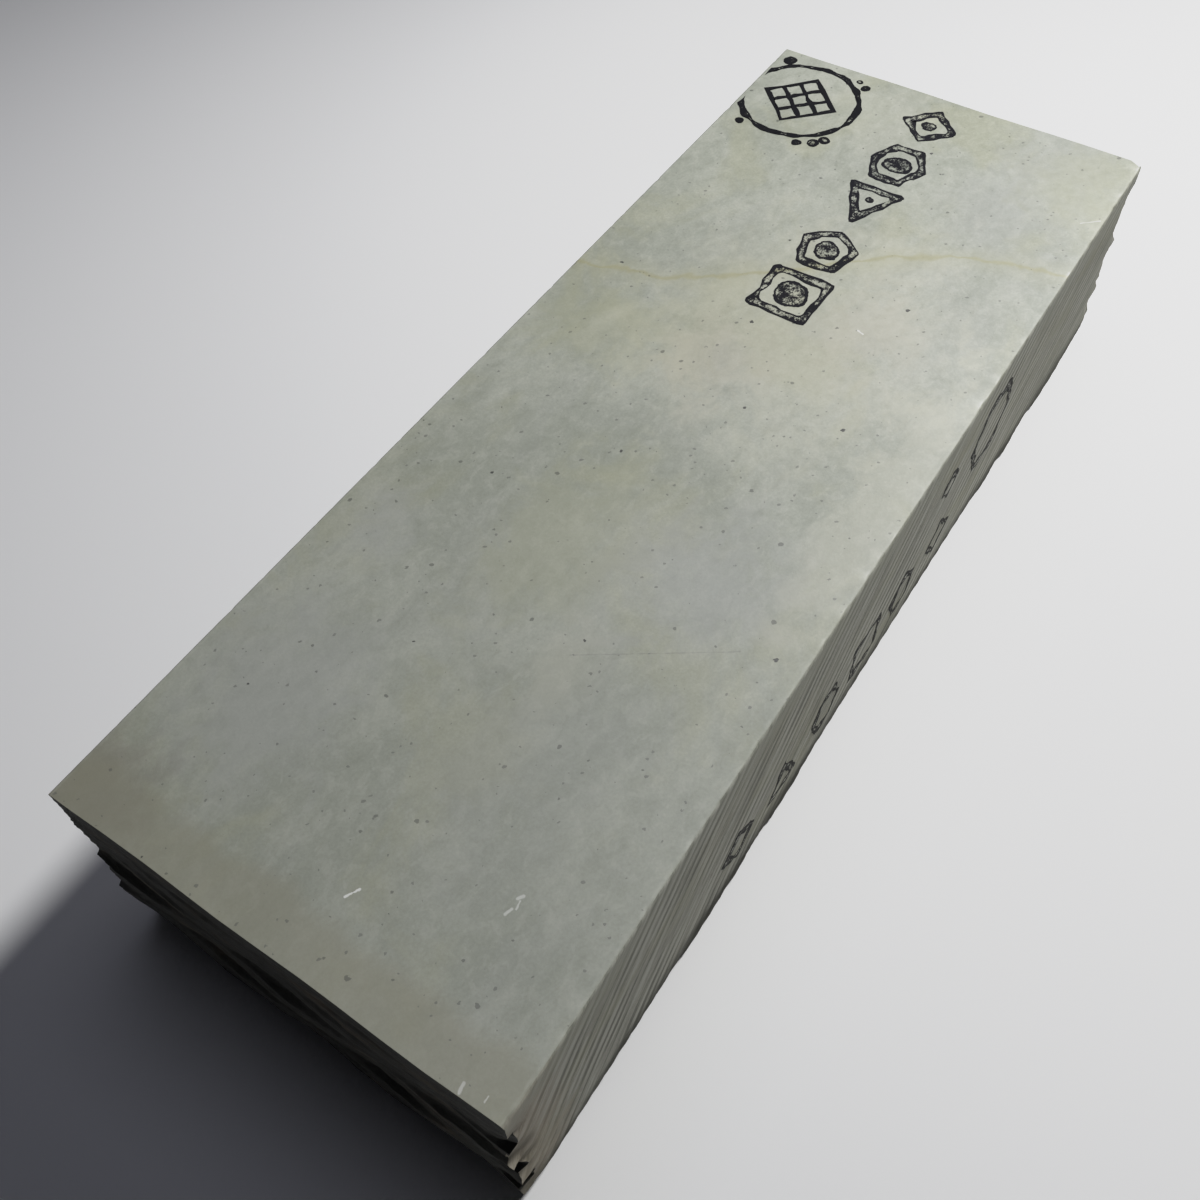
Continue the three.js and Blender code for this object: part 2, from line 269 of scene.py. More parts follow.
@dataclass(frozen=True)
class Wire:
    """A value, vector or colour in a shader tree, reckoned with by the usual signs.

    Attributes:
        graph: The graph that it runs in.
        socket: The output that it comes from.
    """

    graph: "Graph"
    socket: bpy.types.NodeSocket

    def reckon(self, operation: str, other: object) -> "Wire":
        """Combines a value with a value, or a vector with a vector.

        Args:
            operation: The word for it in the Math and Vector Math nodes.
            other: The other value or vector.

        Returns:
            The result.
        """
        is_vector = self.socket.type == "VECTOR"
        return (self.graph.vector if is_vector else self.graph.math)(operation, self, other)

    def __add__(self, other: object) -> "Wire":
        """Adds another value or vector."""
        return self.reckon("ADD", other)

    def __sub__(self, other: object) -> "Wire":
        """Takes another value or vector away."""
        return self.reckon("SUBTRACT", other)

    def __mul__(self, other: object) -> "Wire":
        """Multiplies a value or vector by a value."""
        return self.reckon("SCALE" if self.socket.type == "VECTOR" else "MULTIPLY", other)

    def __truediv__(self, other: object) -> "Wire":
        """Divides by another value or vector."""
        return self.reckon("DIVIDE", other)

    def dot(self, other: "Wire") -> "Wire":
        """Gives the dot product with another vector."""
        return self.reckon("DOT_PRODUCT", other)

    def length(self) -> "Wire":
        """Gives a vector's length."""
        return self.graph.vector("LENGTH", self)


Wires = dict[str, Wire]


class Graph:
    """Adds nodes to one shader tree and wires them."""

    SOCKETS = {"VALUE": "NodeSocketFloat", "VECTOR": "NodeSocketVector", "RGBA": "NodeSocketColor"}

    def __init__(self, tree: Tree) -> None:
        """Keeps the tree that the nodes go into."""
        self.tree = tree

    def node(self, kind: str, fed: dict[object, object] | None = None,
             **settings: object) -> bpy.types.Node:
        """Adds a node, sets its properties and feeds its inputs.

        Args:
            kind: The node's type, such as ShaderNodeMath.
            fed: What goes into each input, by the input's name or place.
            **settings: Properties to set on it.

        Returns:
            The new node.
        """
        made = self.tree.nodes.new(kind)
        for name, value in settings.items():
            setattr(made, name, value)
        for key, value in (fed or {}).items():
            self.feed(made.inputs[key], value)
        return made

    def feed(self, socket: bpy.types.NodeSocket, value: object) -> None:
        """Links a wire to an input, or sets the input's own value.

        Args:
            socket: The input.
            value: A wire, or a plain value.
        """
        if isinstance(value, Wire):
            self.tree.links.new(value.socket, socket)
        else:
            socket.default_value = value

    def wires(self, made: bpy.types.Node) -> Wires:
        """Names the wires that leave a node."""
        return {socket.name: Wire(self, socket) for socket in made.outputs}

    def math(self, operation: str, *values: object, clamp: bool = False) -> Wire:
        """Adds a Math node on its values and returns the result."""
        made = self.node("ShaderNodeMath", dict(enumerate(values)),
                         operation=operation, use_clamp=clamp)
        return Wire(self, made.outputs[0])

    def vector(self, operation: str, *vectors: object) -> Wire:
        """Adds a Vector Math node and returns its result.

        Args:
            operation: What it does.
            *vectors: The vectors, and for SCALE a vector and a value.

        Returns:
            A vector, or a value for a length or a dot product.
        """
        keys = (0, "Scale") if operation == "SCALE" else (0, 1)
        made = self.node("ShaderNodeVectorMath", dict(zip(keys, vectors)), operation=operation)
        return self.wires(made)["Value" if operation in ("LENGTH", "DOT_PRODUCT") else "Vector"]

    def parts(self, point: Wire) -> list[Wire]:
        """Splits a vector into its three values."""
        return list(self.wires(self.node("ShaderNodeSeparateXYZ", {0: point})).values())

    def joined(self, x: object, y: object, z: object) -> Wire:
        """Joins three values into a vector."""
        return Wire(self, self.node("ShaderNodeCombineXYZ", {0: x, 1: y, 2: z}).outputs[0])

    def noise(self, point: Wire, pattern: Pattern) -> Wire:
        """Adds a noise and returns its value.

        Args:
            point: The point, in millimetres.
            pattern: What the noise is like.

        Returns:
            The noise, from 0 to 1.
        """
        place = self.node("ShaderNodeMapping", {
            "Vector": point, "Location": pattern.shift,
            "Rotation": (0, 0, math.radians(pattern.turn)),
            "Scale": [1 / size for size in pattern.sizes]}, vector_type="POINT")
        made = self.node("ShaderNodeTexNoise", {
            "Vector": Wire(self, place.outputs[0]), "Scale": 1.0, "Detail": pattern.detail,
            "Roughness": pattern.roughness, "Distortion": pattern.swirl})
        return Wire(self, made.outputs[0])

    def step(self, value: object, low: object, high: object, to_low: float = 0.0,
             to_high: float = 1.0) -> Wire:
        """Maps a value smoothly from one range to another and holds it at the ends.

        Args:
            value: The value.
            low: Where the first range starts.
            high: Where it ends, which may lie below its start.
            to_low: The result at the start.
            to_high: The result at the end.

        Returns:
            The result.
        """
        made = self.node("ShaderNodeMapRange", {
            "Value": value, "From Min": low, "From Max": high, "To Min": to_low,
            "To Max": to_high}, interpolation_type="SMOOTHSTEP")
        return Wire(self, made.outputs[0])

    def blend(self, share: object, first: object, second: object, mode: str = "MIX") -> Wire:
        """Mixes two colours.

        Args:
            share: How much of the second shows.
            first: The first colour.
            second: The second colour.
            mode: How they mix, in the Mix node's word.

        Returns:
            The mixed colour.
        """
        made = self.node("ShaderNodeMix", {0: share}, data_type="RGBA", blend_type=mode)
        for socket, colour in zip([s for s in made.inputs if s.type == "RGBA"], (first, second)):
            self.feed(socket, (*colour, 1.0) if isinstance(colour, tuple) else colour)
        return next(Wire(self, socket) for socket in made.outputs if socket.type == "RGBA")

    def washed(self, colour: object, patterns: Wires, washes: Iterable[Wash]) -> Wire:
        """Lays washes over a colour, one after another.

        Args:
            colour: The colour underneath.
            patterns: The patterns that the washes name.
            washes: The washes.

        Returns:
            The colour with all the washes on it.
        """
        for wash in washes:
            mask = patterns[wash.pattern]
            share = mask * wash.share if wash.span is None else self.step(
                mask, *wash.span, 0, wash.share)
            colour = self.blend(share, colour, wash.colour)
        return colour

    def group(self, tree: Tree, **values: object) -> Wires:
        """Places a node group, feeds its named inputs and names the wires that leave it."""
        return self.wires(self.node("ShaderNodeGroup", values, node_tree=tree))

    def closed(self, **outputs: Wire) -> Tree:
        """Ends a node group with its outputs.

        Args:
            **outputs: The wires that leave the group, by name.

        Returns:
            The finished group.
        """
        for name, wire in outputs.items():
            self.tree.interface.new_socket(
                name=name, in_out="OUTPUT", socket_type=self.SOCKETS[wire.socket.type])
        self.node("NodeGroupOutput", outputs)
        return self.tree


def opened(name: str, **inputs: str) -> tuple[Graph, list[Wire]]:
    """Starts a node group.

    Args:
        name: The group's name.
        **inputs: Each input's kind, VALUE or VECTOR.

    Returns:
        The graph to build in, and the inputs in their order.
    """
    graph = Graph(bpy.data.node_groups.new(name, "ShaderNodeTree"))
    for socket, kind in inputs.items():
        graph.tree.interface.new_socket(
            name=socket, in_out="INPUT", socket_type=Graph.SOCKETS[kind])
    wires = graph.wires(graph.node("NodeGroupInput"))
    return graph, [wires[socket] for socket in inputs]


class Effects:
    """The shader effects that several finishes share, each one node group built once."""

    def face(self, finish: Finish) -> Tree:
        """Picks the colour and height of the honed face or of the sawn sides."""
        return self.honed_colour if finish is Finish.HONED else self.sawn_colour

    @cached_property
    def blot(self) -> Tree:
        """A soft-edged patch: 1 at its centre, ragged towards its reach, and 0 outside."""
        graph, (point, centre, reach, raggedness) = opened(
            "blot", Point="VECTOR", Centre="VECTOR", Reach="VECTOR", Raggedness="VALUE")
        distance = ((point - centre) / reach).length()
        ragged = graph.noise(point, Pattern((8, 7, 8), 7, 0.62, 0.6)) - 0.5
        return graph.closed(Mask=graph.step(ragged * raggedness + distance, 1.25, 0.3))

    @cached_property
    def scratch(self) -> Tree:
        """A thin straight line from a start along a run, broken here and there."""
        graph, (point, start, run, width) = opened(
            "scratch", Point="VECTOR", Start="VECTOR", Run="VECTOR", Width="VALUE")
        away = point - start
        along = graph.math("DIVIDE", away.dot(run), run.dot(run), clamp=True)
        distance = (away - run * along).length()
        wobble = graph.noise(point, Pattern((1.1, 1.1, 1.1), 4))
        width = width * graph.step(wobble, 0.35, 0.65, 0.3, 1.3)
        return graph.closed(Mask=graph.step(distance, width, width * 0.4))

    @cached_property
    def specks(self) -> Tree:
        """Small uneven grains scattered through the stone."""
        graph, (point, spacing, radius, share) = opened(
            "specks", Point="VECTOR", Spacing="VALUE", Radius="VALUE", Share="VALUE")
        bent = graph.noise(point, Pattern((0.6, 0.6, 0.6)))
        cells = graph.wires(graph.node("ShaderNodeTexVoronoi", {
            "Vector": point + graph.joined(bent * 0.9, bent * -0.7, 0.0),
            "Scale": graph.math("DIVIDE", 1.0, spacing)}, feature="F1"))
        pick = graph.wires(graph.node("ShaderNodeSeparateColor", {0: cells["Color"]}))
        size = graph.math("POWER", pick["Green"], 2.0)
        radius = radius * (size * 0.65 + 0.4)
        inside = graph.step(cells["Distance"] * spacing, radius, radius * 0.86)
        chosen = graph.math("LESS_THAN", pick["Red"], share)
        return graph.closed(Mask=inside * chosen * (pick["Blue"] * 0.45 + 0.55))

    @cached_property
    def ground(self) -> Tree:
        """The body of the stone: grey-green mud rock, clouded, with faint warm and blue drifts."""
        graph, (point,) = opened("ground", Point="VECTOR")
        patterns = {name: graph.noise(point, one) for name, one in GROUND_PATTERNS.items()}
        colour = graph.washed(GROUND_BODY, patterns, GROUND_WASHES)
        shade = graph.step(patterns["grain"], 0.25, 0.75, 0.84, 0.98)
        colour = graph.blend(1.0, colour, graph.joined(shade, shade, shade), "MULTIPLY")
        return graph.closed(Color=colour, Grain=patterns["grain"])

    @cached_property
    def vein(self) -> Tree:
        """A thin ochre vein that crosses the stone in a slow S, with a pale yellow halo."""
        graph, (point,) = opened("vein", Point="VECTOR")
        x, y, _ = graph.parts(point)
        swing = graph.math("SINE", y * (math.tau / 76)) * -4.6
        ragged = graph.noise(point, Pattern((11, 8, 12), 5)) - 0.5
        middle = ragged * 7.0 + (y * -0.53 + 46.0 + swing)
        distance = graph.math("ABSOLUTE", x - middle)
        thin = graph.noise(point, Pattern((5, 5, 5), shift=(4, 4, 4)))
        width = graph.step(thin, 0.3, 0.7, 0.4, 1.5)
        return graph.closed(Line=graph.step(distance, width, 0.05),
                            Halo=graph.step(distance, 5.5, 0.0))

    @cached_property
    def edge(self) -> Tree:
        """How near a point of the top is to a long edge: 1 on the ground chamfer."""
        graph, (point, half, reach) = opened("edge", Point="VECTOR", Half="VALUE", Reach="VALUE")
        _, y, _ = graph.parts(point)
        inside = graph.math("SUBTRACT", half, graph.math("ABSOLUTE", y))
        ragged = graph.noise(point, Pattern((2.2, 1.4, 1.4), 4, 0.6)) - 0.5
        return graph.closed(Mask=graph.step(ragged * 1.6 + inside, reach, 0.2))

    @cached_property
    def honed_colour(self) -> Tree:
        """The honed face: the ground with its drifts, vein, specks, hairline and scratches."""
        graph, (point,) = opened("honed_colour", Point="VECTOR")
        ground = graph.group(self.ground, Point=point)
        colour = ground["Color"]
        for drift in TOP_DRIFTS:
            blot = graph.group(self.blot, Point=point, Centre=(*drift.centre, TOP_MM),
                               Reach=(*drift.reach, 20.0), Raggedness=2.6)
            colour = graph.blend(blot["Mask"] * drift.share, colour, drift.tint.value)
        vein = graph.group(self.vein, Point=point)
        ragged = graph.noise(point, Pattern((12, 9, 9), 5, 0.55)) - 0.5
        fine = graph.group(self.specks, Point=point, Spacing=1.3, Radius=0.27, Share=0.4)
        coarse = graph.group(self.specks, Point=point, Spacing=3.1, Radius=0.44, Share=0.46)
        patterns = {
            "halo": vein["Halo"], "line": vein["Line"],
            "fine": fine["Mask"], "coarse": coarse["Mask"],
            # Distance from the near end, made ragged: for a brown stain at the end and for painted
            # shade towards it.
            "from_end": ragged * 7.0 + (graph.parts(point)[0] + HALF_LENGTH_MM),
        }
        colour = graph.washed(colour, patterns, HONED_WASHES)
        for line in TOP_LINES:
            made = graph.group(self.scratch, Point=point, Start=(*line.start, TOP_MM),
                               Run=(*line.run, 0.0), Width=line.width)
            colour = graph.blend(made["Mask"] * line.share, colour, line.tint.value)
        # A paler rim along the long edges: worn stone, and partly a painted highlight on the
        # ground edge.
        wear = graph.group(self.edge, Point=point, Half=HALF_WIDTH_MM, Reach=0.9)
        colour = graph.blend(wear["Mask"] * 0.16, colour, (0.6, 0.6, 0.53))
        return graph.closed(Color=colour, Height=ground["Grain"])

    @cached_property
    def saw(self) -> Tree:
        """Curved strokes of a large circular saw across a side, coarse and fine together."""
        graph, (point,) = opened("saw", Point="VECTOR")
        x, _, z = graph.parts(point)
        away = graph.joined(x - SAW_CENTRE_MM[0], 0.0, z - SAW_CENTRE_MM[1])
        radius = graph.noise(point, Pattern((26, 26, 26))) * 2.0 + away.length()
        strength = graph.noise(point, Pattern((13, 13, 9), 4, shift=(6, 0, 2)))
        wave = graph.math("SINE", radius * (math.tau / SAW_PITCH_MM))
        coarse = wave * graph.step(strength, 0.35, 0.65, 0.05, 0.34)
        rows = graph.joined(radius, x * 0.06, 0.0)
        broad = graph.noise(rows, Pattern((1.4, 1, 1), 3, 0.6)) - 0.5
        fine = graph.noise(rows, Pattern((0.35, 1, 1), 3, 0.6, shift=(5, 5, 0))) - 0.5
        total = coarse + (broad * 1.3 + fine * 0.9)
        return graph.closed(Height=graph.math("ADD", total, 0.5, clamp=True))

    @cached_property
    def sawn_colour(self) -> Tree:
        """The sawn sides: the ground, dulled and browned, with painted shade in the saw's grooves
        and painted highlight on its ridges.
        """
        graph, (point,) = opened("sawn_colour", Point="VECTOR")
        height = graph.group(self.saw, Point=point)["Height"]
        x, _, z = graph.parts(point)
        rust_and_shade_noise = graph.noise(point, Pattern((7, 7, 3), 5, 0.62))
        spots = graph.group(self.specks, Point=point, Spacing=6.0, Radius=0.9, Share=0.25)
        patterns = {
            "height": height, "spots": spots["Mask"], "along": x, "above": z,
            "patches": graph.noise(point, Pattern((22, 22, 7), 5, 0.6)),
            "from_end": rust_and_shade_noise * 18.0 + (x + HALF_LENGTH_MM),
            # Height above the resting face, made ragged: the mask of the painted contact shade
            # along the bottom.
            "low": (rust_and_shade_noise - 0.5) * 5.0 + z,
        }
        colour = graph.blend(0.65, graph.group(self.ground, Point=point)["Color"], SAWN_DUST)
        return graph.closed(Color=graph.washed(colour, patterns, SAWN_WASHES), Height=height)

    @cached_property
    def cover(self) -> Tree:
        """How well ink covers: full along a mark's rim, worn to specks and streaks inside."""
        graph, (point, rim, wear) = opened("cover", Point="VECTOR", Rim="VALUE", Wear="VALUE")
        blots = graph.noise(point, Pattern((1.3, 1.3, 1.3), 5, 0.6))
        pores = graph.noise(point, Pattern((0.32, 0.32, 0.32), 3, 0.6, shift=(2, 3, 1)))
        need = wear - graph.step(rim, 0.62, 0.1, 0.0, 0.2)
        return graph.closed(Mask=graph.step(blots * 0.62 + pores * 0.38, need - 0.05, need + 0.06))


# ------------------------------------------------------------------ finishes


@dataclass(frozen=True)
class StoneFinish:
    """A finish of bare stone.

    Attributes:
        name: The material's name.
        face: How the face was made.
        roughness: Its roughness where the grain is closed and where it is open.
        relief: The depth of its fine relief, in millimetres.
        relief_strength: How strongly that relief shows.
        specular: How strongly its surface mirrors light.
    """

    name: str
    face: Finish
    roughness: Pair
    relief: float
    relief_strength: float
    specular: float

    def material(self, effects: Effects) -> bpy.types.Material:
        """Builds the material.

        Args:
            effects: The shared shader effects.

        Returns:
            The finished material.
        """
        made, graph, shader, point = start_material(self.name)
        body = graph.group(effects.face(self.face), Point=point)
        graph.feed(shader.inputs["Base Color"], body["Color"])
        rough = graph.noise(point, Pattern((1.5, 1.5, 1.5), 4, 0.6, shift=(5, 5, 5)))
        graph.feed(shader.inputs["Roughness"], graph.step(rough, 0.3, 0.7, *self.roughness))
        shader.inputs["Specular IOR Level"].default_value = self.specular
        pits = graph.noise(point, Pattern((0.22, 0.22, 0.22), 4, 0.65))
        bump(graph, shader, pits * 0.3 + body["Height"], self.relief, self.relief_strength)
        return made


@dataclass(frozen=True)
class SplitFinish:
    """The split ends: fresh rock broken along the bedding, with darker seams, all under a
    near-black painted shade.
    """

    name: str = "split_stone"
    roughness: float = 0.85
    relief: float = 0.35

    def material(self, effects: Effects) -> bpy.types.Material:
        """Builds the material.

        Args:
            effects: The shared shader effects.

        Returns:
            The finished material.
        """
        made, graph, shader, point = start_material(self.name)
        patterns = {name: graph.noise(point, one) for name, one in SPLIT_PATTERNS.items()}
        # Painted shade: 95 % of this near-black colour over the ground darkens the split ends.
        colour = graph.blend(0.95, graph.group(effects.ground, Point=point)["Color"], SPLIT_PAINTED_SHADE)
        graph.feed(shader.inputs["Base Color"], graph.washed(colour, patterns, SPLIT_WASHES))
        crumbs = patterns["crumbs"]
        graph.feed(shader.inputs["Roughness"],
                   graph.step(crumbs, 0.3, 0.7, self.roughness - 0.1, self.roughness + 0.08))
        bump(graph, shader, patterns["beds"] * 0.8 + crumbs, self.relief, 0.8)
        return made


@dataclass(frozen=True)
class InkFinish:
    """Dry black ink on stone, which shows through where the ink has worn.

    Attributes:
        name: The material's name.
        face: How the face under the ink was made.
        ink: The ink's own colour.
        wear: How much of the mark's inside has worn away, from 0 to 1.
        strength: How dark the ink is where it covers.
        relief: The depth of the stone's relief, in millimetres.
    """

    name: str
    face: Finish
    ink: Triple
    wear: float
    strength: float
    relief: float

    def material(self, effects: Effects) -> bpy.types.Material:
        """Builds the material.

        Args:
            effects: The shared shader effects.

        Returns:
            The finished material.
        """
        made, graph, shader, point = start_material(self.name)
        body = graph.group(effects.face(self.face), Point=point)
        rim = graph.wires(graph.node("ShaderNodeAttribute", attribute_name=InkMarks.RIM))["Fac"]
        mask = graph.group(effects.cover, Point=point, Rim=rim, Wear=self.wear)["Mask"]
        share = mask * self.strength
        graph.feed(shader.inputs["Base Color"], graph.blend(share, body["Color"], self.ink))
        graph.feed(shader.inputs["Roughness"], graph.step(share, 0, 1, 0.55, 0.8))
        shader.inputs["Specular IOR Level"].default_value = 0.1
        bump(graph, shader, mask * 0.25 + body["Height"], self.relief, 0.5)
        return made


def start_material(name: str) -> tuple[bpy.types.Material, Graph, bpy.types.Node, Wire]:
    """Starts a material with one shader and the point in millimetres.

    Args:
        name: The material's name.

    Returns:
        The material, its graph, its Principled shader and the point.
    """
    made = bpy.data.materials.new(name)
    made.use_nodes = True
    graph = Graph(made.node_tree)
    place = graph.wires(graph.node("ShaderNodeTexCoord"))["Object"]
    return made, graph, made.node_tree.nodes["Principled BSDF"], place * (1 / MM)


def bump(graph: Graph, shader: bpy.types.Node, height: Wire, depth_mm: float,
         strength: float) -> None:
    """Gives a shader a relief.

    Args:
        graph: The material's graph.
        shader: Its shader.
        height: The relief's height.
        depth_mm: The depth of a height of 1, in millimetres.
        strength: How strongly the relief shows.
    """
    made = graph.node("ShaderNodeBump", {
        "Distance": depth_mm * MM, "Strength": strength, "Height": height})
    graph.feed(shader.inputs["Normal"], graph.wires(made)["Normal"])


# ------------------------------------------------------------------ bench work on meshes


class Bench:
    """Holds one object in edit mode and works on what is selected in it."""

    def __init__(self, piece: Piece) -> None:
        """Keeps the piece to be worked on."""
        self.piece = piece

    def __enter__(self) -> "Bench":
        """Opens the piece alone for editing, with nothing in it picked.

        Returns:
            The bench itself.
        """
        take_up(self.piece)
        bpy.ops.object.mode_set(mode="EDIT")
        bpy.ops.mesh.select_all(action="DESELECT")
        return self

    def __exit__(self, *_: object) -> None:
        """Leaves edit mode."""
        bpy.ops.object.mode_set(mode="OBJECT")

    def pick(self, kind: str, wanted: Callable[[object], bool]) -> None:
        """Selects the edges or faces that pass a test, and nothing else.

        Args:
            kind: EDGE or FACE.
            wanted: The test.
        """
        bpy.ops.mesh.select_mode(type=kind)
        bpy.ops.mesh.select_all(action="DESELECT")
        mesh = bmesh.from_edit_mesh(self.piece.data)
        for element in mesh.edges if kind == "EDGE" else mesh.faces:
            if wanted(element):
                element.select_set(True)
        bmesh.update_edit_mesh(self.piece.data)

    def cut_lines(self, axis: int, count: int, longer_than: float = 0.0) -> None:
        """Divides every edge along one axis into equal parts.

        Args:
            axis: 0, 1 or 2 for X, Y or Z.
            count: How many parts, a multiple of four.
            longer_than: Shorter edges are left whole.
        """
        for cuts in (3, count // 4 - 1):
            self.pick("EDGE", lambda edge: (
                runs_along(edge, axis) and edge.calc_length() > longer_than))
            bpy.ops.mesh.subdivide(number_cuts=cuts)

    def slice_at(self, place: Vector, normal: Vector) -> None:
        """Cuts the whole mesh along a plane and keeps both sides."""
        bpy.ops.mesh.select_all(action="SELECT")
        bpy.ops.mesh.bisect(plane_co=place, plane_no=normal)


def runs_along(edge: bmesh.types.BMEdge, axis: int) -> bool:
    """Tells whether an edge runs along an axis."""
    way = (edge.verts[1].co - edge.verts[0].co).normalized()
    return abs(way[axis]) > 0.99


def take_up(piece: Piece) -> None:
    """Selects one object alone and makes it the active one.

    Args:
        piece: The object.
    """
    bpy.ops.object.select_all(action="DESELECT")
    piece.select_set(True)
    bpy.context.view_layer.objects.active = piece


def apply_modifier(piece: Piece, kind: str, **settings: object) -> None:
    """Adds a modifier, sets it and applies it.

    Args:
        piece: The object.
        kind: The modifier's type.
        **settings: Its properties.
    """
    take_up(piece)
    modifier = piece.modifiers.new(kind.lower(), kind)
    for name, value in settings.items():
        setattr(modifier, name, value)
    bpy.ops.object.modifier_apply(modifier=modifier.name)


@dataclass(frozen=True)
class Relief:
    """A pattern that a Displace modifier presses into a surface.

    Attributes:
        kind: The texture's type.
        sizes: The size of its features along each axis, in millimetres.
        place: The pattern's origin, in millimetres.
        look: Further settings of the texture.
        stops: The pattern's values that count as nothing and as full, or None for 0 and 1.
    """

    kind: str
    sizes: Triple
    place: Triple = (0, 0, 0)
    look: dict[str, object] = field(default_factory=dict)
    stops: Pair | None = None

    def press(self, piece: Piece, way: str, depth_mm: float, level: float,
              group: str = "") -> None:
        """Displaces a piece by the pattern.

        Args:
            piece: The object.
            way: X, Y, Z or NORMAL.
            depth_mm: How far the full pattern moves it, in millimetres.
            level: The pattern's value that moves nothing.
            group: The vertex group that it is kept to, if any.
        """
        texture = bpy.data.textures.new(f"{self.kind.lower()}_relief", self.kind)
        for name, value in {"noise_scale": 1.0, **self.look}.items():
            setattr(texture, name, value)
        if self.stops is not None:
            texture.use_color_ramp = True
            ramp = texture.color_ramp.elements
            for element, position, shade in zip(ramp, self.stops, (0.0, 1.0)):
                element.position = position
                element.color = (shade, shade, shade, 1.0)
        gauge = bpy.data.objects.new("relief_gauge", None)
        bpy.context.scene.collection.objects.link(gauge)
        gauge.location = Vector(self.place) * MM
        gauge.scale = Vector(self.sizes) * MM
        bpy.context.view_layer.update()
        apply_modifier(piece, "DISPLACE", texture=texture, texture_coords="OBJECT",
                       texture_coords_object=gauge, direction=way, strength=depth_mm * MM,
                       mid_level=level, vertex_group=group)
        bpy.data.objects.remove(gauge)
        bpy.data.textures.remove(texture)


def weigh(piece: Piece, name: str, weight: Callable[[np.ndarray], np.ndarray]) -> str:
    """Makes a vertex group from a formula.

    Args:
        piece: The object.
        name: The group's name.
        weight: Gives the weights of all points, from 0 to 1, from their places in millimetres.

    Returns:
        The group's name.
    """
    group = piece.vertex_groups.new(name=name)
    levels = np.round(np.clip(weight(places(piece) / MM), 0, 1) * WEIGHT_LEVELS).astype(int)
    for level in range(1, WEIGHT_LEVELS + 1):
        group.add(np.flatnonzero(levels == level).tolist(), level / WEIGHT_LEVELS, "REPLACE")
    return name


def read(items: object, name: str, kind: type = float, width: int = 1) -> np.ndarray:
    """Reads one property of all of a mesh's points, faces or corners.

    Args:
        items: The points, faces or corners.
        name: The property.
        kind: Whether its values are whole numbers or not.
        width: How many values each item has.

    Returns:
        The values, in one row for each item where an item has several.
    """
    values = np.zeros(len(items) * width, kind)
    items.foreach_get(name, values)
    return values if width == 1 else values.reshape(-1, width)


def places(piece: Piece) -> np.ndarray:
    """Reads the places of a piece's points."""
    return read(piece.data.vertices, "co", width=3)


def put_places(piece: Piece, points: np.ndarray) -> None:
    """Writes the places of a piece's points."""
    piece.data.vertices.foreach_set("co", points.ravel())
    piece.data.update()


def fade(distance: np.ndarray, reach: float) -> np.ndarray:
    """Falls smoothly from 1 at no distance to 0 at the reach."""
    share = np.clip(1 - distance / reach, 0, 1)
    return share * share * (3 - 2 * share)


WOOD_RING = 0.31416
SAW_RELIEF = Relief(
    "WOOD", (SAW_PITCH_MM / WOOD_RING,) * 3,
    (SAW_CENTRE_MM[0], -HALF_WIDTH_MM, SAW_CENTRE_MM[1]),
    {"wood_type": "RINGNOISE", "noise_basis_2": "SIN", "noise_scale": 3.2, "turbulence": 1.6},
)


# ------------------------------------------------------------------ the block


@dataclass(frozen=True)
class SplitEnd:
    """How roughly one end of the block is split, in millimetres.

    Attributes:
        name: Its name.
        side: 1 for the far end and -1 for the near one.
        beds: The depth of the long ridges along the bedding.
        flakes: The depth of the flakes.
        crumbs: The depth of the fine crumbs.
        right_chips: The depth of the steps in its right-hand corner.
        left_chips: The same for its left-hand corner.
        corner_reach: How far in from a corner its steps reach.
        bed_ramp: How far below the top the ridges and flakes reach their full depth.
        crumb_ramp: The same for the crumbs.
    """

    name: str
    side: int
    beds: float
    flakes: float
    crumbs: float
    right_chips: float
    left_chips: float
    corner_reach: float = 6.0
    bed_ramp: float = 7.0
    crumb_ramp: float = 1.5


@dataclass(frozen=True)
class LongSide:
    """How worn one long side of the block is, in millimetres.

    Attributes:
        name: Its name.
        hand: 1 for the left side and -1 for the right one.
        nicks: The depth of the nicks in its top edge.
        nick_reach: How far they reach from that edge.
        bites: The depth of the bites in its bottom edge.
        bite_reach: How far they reach in under the block, and up the side.
    """

    name: str
    hand: int
    nicks: float
    nick_reach: float = 1.2
    bites: float = 2.2
    bite_reach: Pair = (8.0, 3.2)


SPLIT_ENDS = (
    SplitEnd("near", -1, 0.5, 0.28, 0.25, 1.7, 0.1),
    SplitEnd("far", 1, 1.2, 0.9, 0.4, 1.5, 1.2),
)
LONG_SIDES = (LongSide("right", -1, 0.22), LongSide("left", 1, 0.1))


